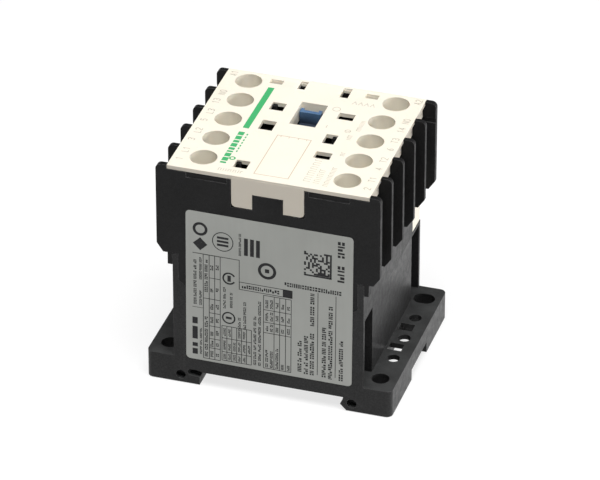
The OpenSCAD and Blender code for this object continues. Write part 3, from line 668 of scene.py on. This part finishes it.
def make_label_print():
    """Tables, rings, blocks and rows of bars, placed in mm from the label's lower left corner."""
    rng = random.Random(7)
    art = Artwork(on_label, LABEL_INK)
    thin = 0.15
    # ratings table on the left: narrow columns, and a head row that runs across
    columns = [4.1, 5.5, 6.8, 8.1]
    rows = [0.7, 3.7, 6.2, 9.6, 13.1, 16.8, 22.4, 28.4]
    art.grid(columns[1:], rows, thin)
    art.grid(columns[:2], [0.7, 16.8, 28.4], thin)
    art.bar(1.6, 28.35, 12.6, 28.5)
    art.bar(12.5, 20.7, 12.65, 28.5)
    art.bar(1.5, 14.0, 4.1, 14.1)
    art.upright_words(5.15, 1.2, 12, 0.75, rng)
    art.upright_words(5.15, 18.5, 27, 0.75, rng)
    for low, high in zip(rows, rows[1:]):
        middle = (low + high) / 2
        art.upright_words(6.45, middle - 0.9, middle + 0.8, 0.7, rng)
        art.upright_words(7.75, middle - 0.6, middle + 0.5, 0.7, rng)
    # maker's corner: plain blocks
    for k, length in enumerate((1.5, 1.0, 2.1, 1.3, 1.7)):
        art.bar(1.5, 1.4 + 2.05 * k, 2.75, 1.4 + 2.05 * k + length)
    art.upright_words(3.75, 1.6, 8.6, 0.5, rng)
    art.upright_words(2.5, 14.8, 26.8, 0.7, rng)
    art.upright_words(3.75, 14.8, 19.2, 0.6, rng)
    art.upright_words(3.75, 21.6, 27.4, 0.6, rng)
    # plain approval-style rings and blocks, none of them a real mark
    art.ring(10.1, 12.6, 1.6, 1.25)
    art.bar(9.4, 12.3, 10.8, 12.9)
    art.ring(10.2, 23.1, 1.6, 1.2, turn=300, start=30)
    art.bar(9.8, 22.3, 10.6, 23.9)
    art.upright_words(9.4, 15.0, 20.8, 0.6, rng)
    art.upright_words(11.0, 15.4, 19.6, 0.6, rng)
    art.upright_words(12.9, 9.6, 13.0, 0.6, rng)
    art.upright_words(14.2, 10.2, 17.6, 0.65, rng)
    art.ring(3.4, 34.9, 1.75, 1.1)
    art.polygon([(1.7, 31.0), (3.4, 29.3), (5.1, 31.0), (3.4, 32.7)])
    art.ring(8.7, 32.5, 2.5, 2.3)
    for k in range(3):
        art.bar(7.35, 31.3 + 0.95 * k, 10.05, 31.85 + 0.95 * k)
    art.upright_words(13.0, 29.6, 35.4, 0.55, rng)
    for k in range(3):
        art.bar(13.7 + 1.4 * k, 29.9, 14.6 + 1.4 * k, 34.4)
    art.ring(19.1, 26.8, 2.15, 1.45)
    art.bar(18.6, 26.3, 19.6, 27.3)
    # framed line with a filled end
    art.grid([12.6, 25.0], [20.75, 22.7], thin)
    art.bar(22.8, 20.75, 25.0, 22.7)
    art.level_words(21.2, 13.2, 22.4, 0.95, rng)
    # small table
    art.grid([8.5 + 1.16 * k for k in range(7)], [1.0, 3.3, 7.0, 10.3], thin)
    for k in range(6):
        for low, high in ((1.4, 2.9), (3.9, 6.4), (7.6, 9.6)):
            if rng.random() < 0.75:
                art.upright_words(9.4 + 1.16 * k, low, high, 0.55, rng)
    art.upright_words(16.6, 1.2, 14.2, 0.65, rng)
    art.upright_words(17.7, 1.2, 18.4, 0.65, rng)
    # second table
    art.grid([18.3, 20.8, 22.1, 23.5, 24.8], [0.9, 10.4, 13.2, 16.5, 20.3], thin)
    for u in (19.4, 20.5):
        for low, high in ((1.2, 5.8), (10.9, 12.8), (13.7, 16.0), (17.0, 19.8)):
            art.upright_words(u, low, high, 0.65, rng)
    for u in (21.8, 23.1, 24.5):
        art.upright_words(u, 1.2, 3.0 if u > 22 else 6.5, 0.65, rng)
        for low in (11.0, 14.0, 17.4):
            art.upright_words(u, low, low + 1.5, 0.65, rng)
    # running text on the right, in heavier print
    for u, low, high in ((27.3, 1.6, 10.6), (28.8, 1.2, 11.6), (30.2, 1.2, 12.2),
                         (30.2, 14.4, 23.0), (33.0, 1.2, 14.4), (34.5, 1.0, 20.6),
                         (37.0, 1.0, 11.6)):
        art.upright_words(u, low, high, 0.95, rng)
    art.bar(30.95, 1.5, 31.1, 23.4)
    art.bar(35.15, 1.6, 35.3, 23.3)
    art.upright_words(37.1, 27.2, 32.4, 1.6, rng)
    art.upright_words(37.1, 33.6, 37.2, 1.6, rng)
    art.level_words(23.7, 23.2, 36.6, 1.05, rng)
    # block of random squares
    cells, size, u0, v0 = 14, 0.46, 27.7, 27.5
    art.bar(u0, v0, u0 + cells * size, v0 + size * 0.9)
    art.bar(u0 + (cells - 0.9) * size, v0, u0 + cells * size, v0 + cells * size)
    for i in range(cells - 1):
        for j in range(1, cells):
            if rng.random() < 0.5:
                art.bar(u0 + i * size, v0 + j * size, u0 + (i + 1) * size, v0 + (j + 1) * size)
    finish_piece("label_print", art.bm, "label_ink", "housing")


# ---------------------------------------------------------------- cover marks

def greeked_upright(art, u, v0, v1, height, rng):
    """A row of strokes along Y, some with a short tick, that reads as nothing."""
    v = v0
    while v < v1:
        art.stroke([(u, v), (u - height, v)], HOOK_LINE)
        if rng.random() < 0.6:
            art.stroke([(u - height, v), (u - height, v + 0.35 * height)], HOOK_LINE)
        v += 0.6 * height


def greeked_level(art, v, u0, u1, height, rng):
    """The same along X."""
    u = u0
    while u < u1:
        art.stroke([(u, v), (u, v + height)], HOOK_LINE)
        if rng.random() < 0.6:
            art.stroke([(u, v + height), (u + 0.35 * height, v + height)], HOOK_LINE)
        u += 0.6 * height


def make_cover_marks():
    """The green stripe with a row of plain blocks, and low-contrast figures and outlines in painted
    shade of the cover's moulded relief.

    Places are in millimetres along the frame's own X and Y.
    """
    rng = random.Random(3)
    green = Artwork(on_cover, STRIPE_INK)
    green.polygon([(-12.4, -1.9), (-10.95, -1.9), (-10.85, 16.9), (-12.3, 16.9)])
    v = -17.8
    while v < -4.0:
        long = rng.choice((0.7, 1.0, 1.5))
        green.bar(-12.6, v, -11.2, v + long)
        v += long + 0.4
    for k in range(7):
        green.bar(-10.6, -12.4 + 1.25 * k, -10.25, -11.7 + 1.25 * k)
    green.ring(-10.45, -15.2, 0.75, 0.4, steps=20)
    finish_piece("cover_stripe", green.bm, "green_ink", "housing")

    # the terminal figures and greeked rows are painted shade where the cover has moulded relief
    marks = Artwork(on_cover, MARKS_SHADE)
    tall, line = 1.5, 0.16
    terminals = (("1", "L1", "2", "T1"), ("3", "L2", "4", "T2"), ("5", "L3", "6", "T3"),
                 ("13", "NO", "14", "NO"))
    for row, (left_near, left_far, right_near, right_far) in enumerate(terminals, 1):
        y = frame_centre("screw_line_%d" % row).y
        marks.terminal_number(left_near, -21.75, y - 2.0, tall, line)
        marks.terminal_number(left_far, -21.5, y + 2.0, tall, line)
        marks.terminal_number(right_near, 21.9, y - 2.0, tall, line)
        marks.terminal_number(right_far, 21.9, y + 2.0, tall, line)
    coil = frame_centre("screw_coil_a1").y
    marks.terminal_number("A1", -21.7, coil + 2.3, tall, line)
    marks.terminal_number("A2", 22.1, coil + 2.3, tall, line)
    # outline of the marker field's recess, with the little ticks at its far edge, in painted shade
    # of its groove
    corners = [(-3.9, -20.0), (4.0, -20.0), (4.0, -2.66), (-3.9, -2.66), (-3.9, -20.0)]
    field = Artwork(on_cover, FIELD_SHADE)
    field.stroke(corners, 0.17)
    for u in (-3.0, -1.1, 1.1, 3.0):
        field.stroke([(u, -2.66), (u, -3.25)], 0.14)
    finish_piece("marker_field", field.bm, "field_groove_shade", "housing")
    # closed and open marks beside the indicator's window, and plain rows of greeked lettering, all
    # painted shade of the cover's moulded relief
    marks.ring(5.35, 12.15, 0.95, 0.8, steps=24)
    marks.stroke([(5.46, 3.7), (5.46, 4.7)], 0.16)
    marks.ring(10.6, 3.6, 0.7, 0.57, steps=20)
    marks.stroke([(9.9, 3.6), (11.3, 3.6)], 0.14)
    for u, low, high, height in ((8.9, -19.6, -9.4, 1.5), (11.0, -19.8, -13.6, 1.3),
                                 (13.1, -20.4, -12.4, 1.0), (12.9, -6.9, -5.4, 0.9),
                                 (12.2, 0.2, 2.2, 0.9), (13.2, 4.4, 8.8, 0.9)):
        greeked_upright(marks, u, low, high, height, rng)
    for u in (8.0, 9.4, 10.8, 12.2):
        marks.stroke([(u, 15.4), (u + 0.5, 16.6), (u + 1.0, 15.4)], HOOK_LINE)
    greeked_level(marks, -20.9, -12.0, -6.6, 0.95, rng)
    finish_piece("cover_marks", marks.bm, "mark_relief_shade", "housing")


# ---------------------------------------------------------------- springs and windings

UP, ACROSS = Vector((0, 0, 1)), Vector((1, 0, 0))
COIL_STEPS = 28                          # points along one turn of a spring
WIRE_SIDES = 8
WINDING_WIRE = 0.3
WINDING_CORNER = 4                       # radius of the winding's corners in plan
WINDING_WELL = (4.76, 7.36)              # half sizes of its hollow, round the bobbin's post

def tube(bm, points, radius, sides, axis):
    """A round wire swept through points, its section turned with the path."""
    rings = []
    for k, here in enumerate(points):
        ahead = points[min(k + 1, len(points) - 1)] - points[max(k - 1, 0)]
        ahead.normalize()
        out = ahead.cross(axis).normalized()
        up = out.cross(ahead)
        rings.append([bm.verts.new(here + radius * (math.cos(a) * out + math.sin(a) * up))
                      for a in (2 * math.pi * s / sides for s in range(sides))])
    for first, second in zip(rings, rings[1:]):
        for s in range(sides):
            t = (s + 1) % sides
            bm.faces.new((first[s], first[t], second[t], second[s]))
    bm.faces.new(rings[0][::-1])
    bm.faces.new(rings[-1])


def helix(centre, axis, side, radius, low, high, turns):
    """Points of a spring with a closed coil at each end, along axis from low to high."""
    other = axis.cross(side)
    n = int(turns * COIL_STEPS)
    points = []
    for k in range(n + 1):
        s = k / n
        ease = min(1, max(0, (s * turns - 0.75) / (turns - 1.5)))
        a = 2 * math.pi * turns * s
        points.append(centre + axis * (low + (high - low) * ease)
                      + radius * (math.cos(a) * side + math.sin(a) * other))
    return points


def make_spring(node, axis, side, wire, turns):
    """A round-wire spring in the box of a CAD spring, which it stands for.
    """
    low, high = mm_box(node)
    middle = (low + high) / 2
    wide = (high - low).dot(side)
    ends = low.dot(axis) + wire / 2, high.dot(axis) - wire / 2
    centre = middle - axis * middle.dot(axis)
    bm = bmesh.new()
    path = helix(centre, axis, side, (wide - wire) / 2, ends[0], ends[1], turns)
    tube(bm, path, wire / 2, WIRE_SIDES, axis)
    body = frame["nodes"][node]["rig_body"]
    spring = finish_piece(node + "_wire", bm, "spring_steel", body, smooth=50)
    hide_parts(node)
    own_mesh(spring)


def make_winding(node):
    """Wire layers round the bobbin: rows of wire show on a rounded rectangle."""
    low, high = mm_box(node)
    corner = WINDING_CORNER
    rows = int((high.z - low.z) / WINDING_WIRE)
    wire = (high.z - low.z) / rows
    outline = []
    for cx, cy, start in ((high.x - corner, high.y - corner, 0),
                          (low.x + corner, high.y - corner, 90),
                          (low.x + corner, low.y + corner, 180),
                          (high.x - corner, low.y + corner, 270)):
        for k in range(7):
            a = math.radians(start + 15 * k)
            outline.append((cx, cy, math.cos(a), math.sin(a)))
    bm = bmesh.new()
    rings = []
    for r in range(rows):
        # height within the wire, and how far its round side is drawn in there
        for z, inset in ((0.02, 0.13), (0.25, 0.03), (0.5, 0.0), (0.75, 0.03), (0.98, 0.13)):
            reach = corner - inset * wire * 3
            rings.append([bm.verts.new((cx + reach * c, cy + reach * s, low.z + wire * (r + z)))
                          for cx, cy, c, s in outline])
    for first, second in zip(rings, rings[1:]):
        for k in range(len(outline)):
            j = (k + 1) % len(outline)
            bm.faces.new((first[k], first[j], second[j], second[k]))
    inner = []
    for z in (high.z - 0.01, low.z + 0.01):
        inner.append([bm.verts.new((WINDING_WELL[0] * sx, WINDING_WELL[1] * sy, z))
                      for sx, sy in ((1, 1), (-1, 1), (-1, -1), (1, -1))])
    n = len(outline) // 4
    for ring, well in ((rings[-1], inner[0]), (rings[0], inner[1])):
        for q in range(4):
            arc = ring[q * n:(q + 1) * n]
            bm.faces.new(arc + [well[q]])
            bm.faces.new((arc[-1], ring[((q + 1) * n) % len(ring)], well[(q + 1) % 4], well[q]))
    for q in range(4):
        bm.faces.new((inner[0][q], inner[0][(q + 1) % 4], inner[1][(q + 1) % 4], inner[1][q]))
    winding = finish_piece("winding_turns", bm, "winding", "housing", smooth=30)
    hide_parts(node)


# ---------------------------------------------------------------- scene

make_camera()
make_world(ROOM_GREY, WALL_GREY)
for lamp in LIGHTS:
    area_light(*lamp)
make_floor()
scene.view_settings.view_transform = "Standard"

for node, cad_object in frame["nodes"].items():
    dress(cad_object, NODE_SLOT[node])

for node, width in (("base_housing", 0.12), ("contact_housing", 0.12), ("front_cover", 0.1),
                    ("indicator_flag", 0.1), ("coil_bobbin", 0.08), ("contact_carrier", 0.08),
                    ("rail_slider", 0.12)):
    rounded_copy(node, width)
make_label_print()
make_cover_marks()
for node in ("return_spring_near", "return_spring_far"):
    make_spring(node, UP, ACROSS, 0.45, 6)
for i in (1, 2, 3, 4):
    make_spring("contact_spring_%d" % i, UP, ACROSS, 0.4, 4.5)
make_spring("rail_slider_spring", ACROSS, UP, 0.25, 7)
make_winding("coil_winding")
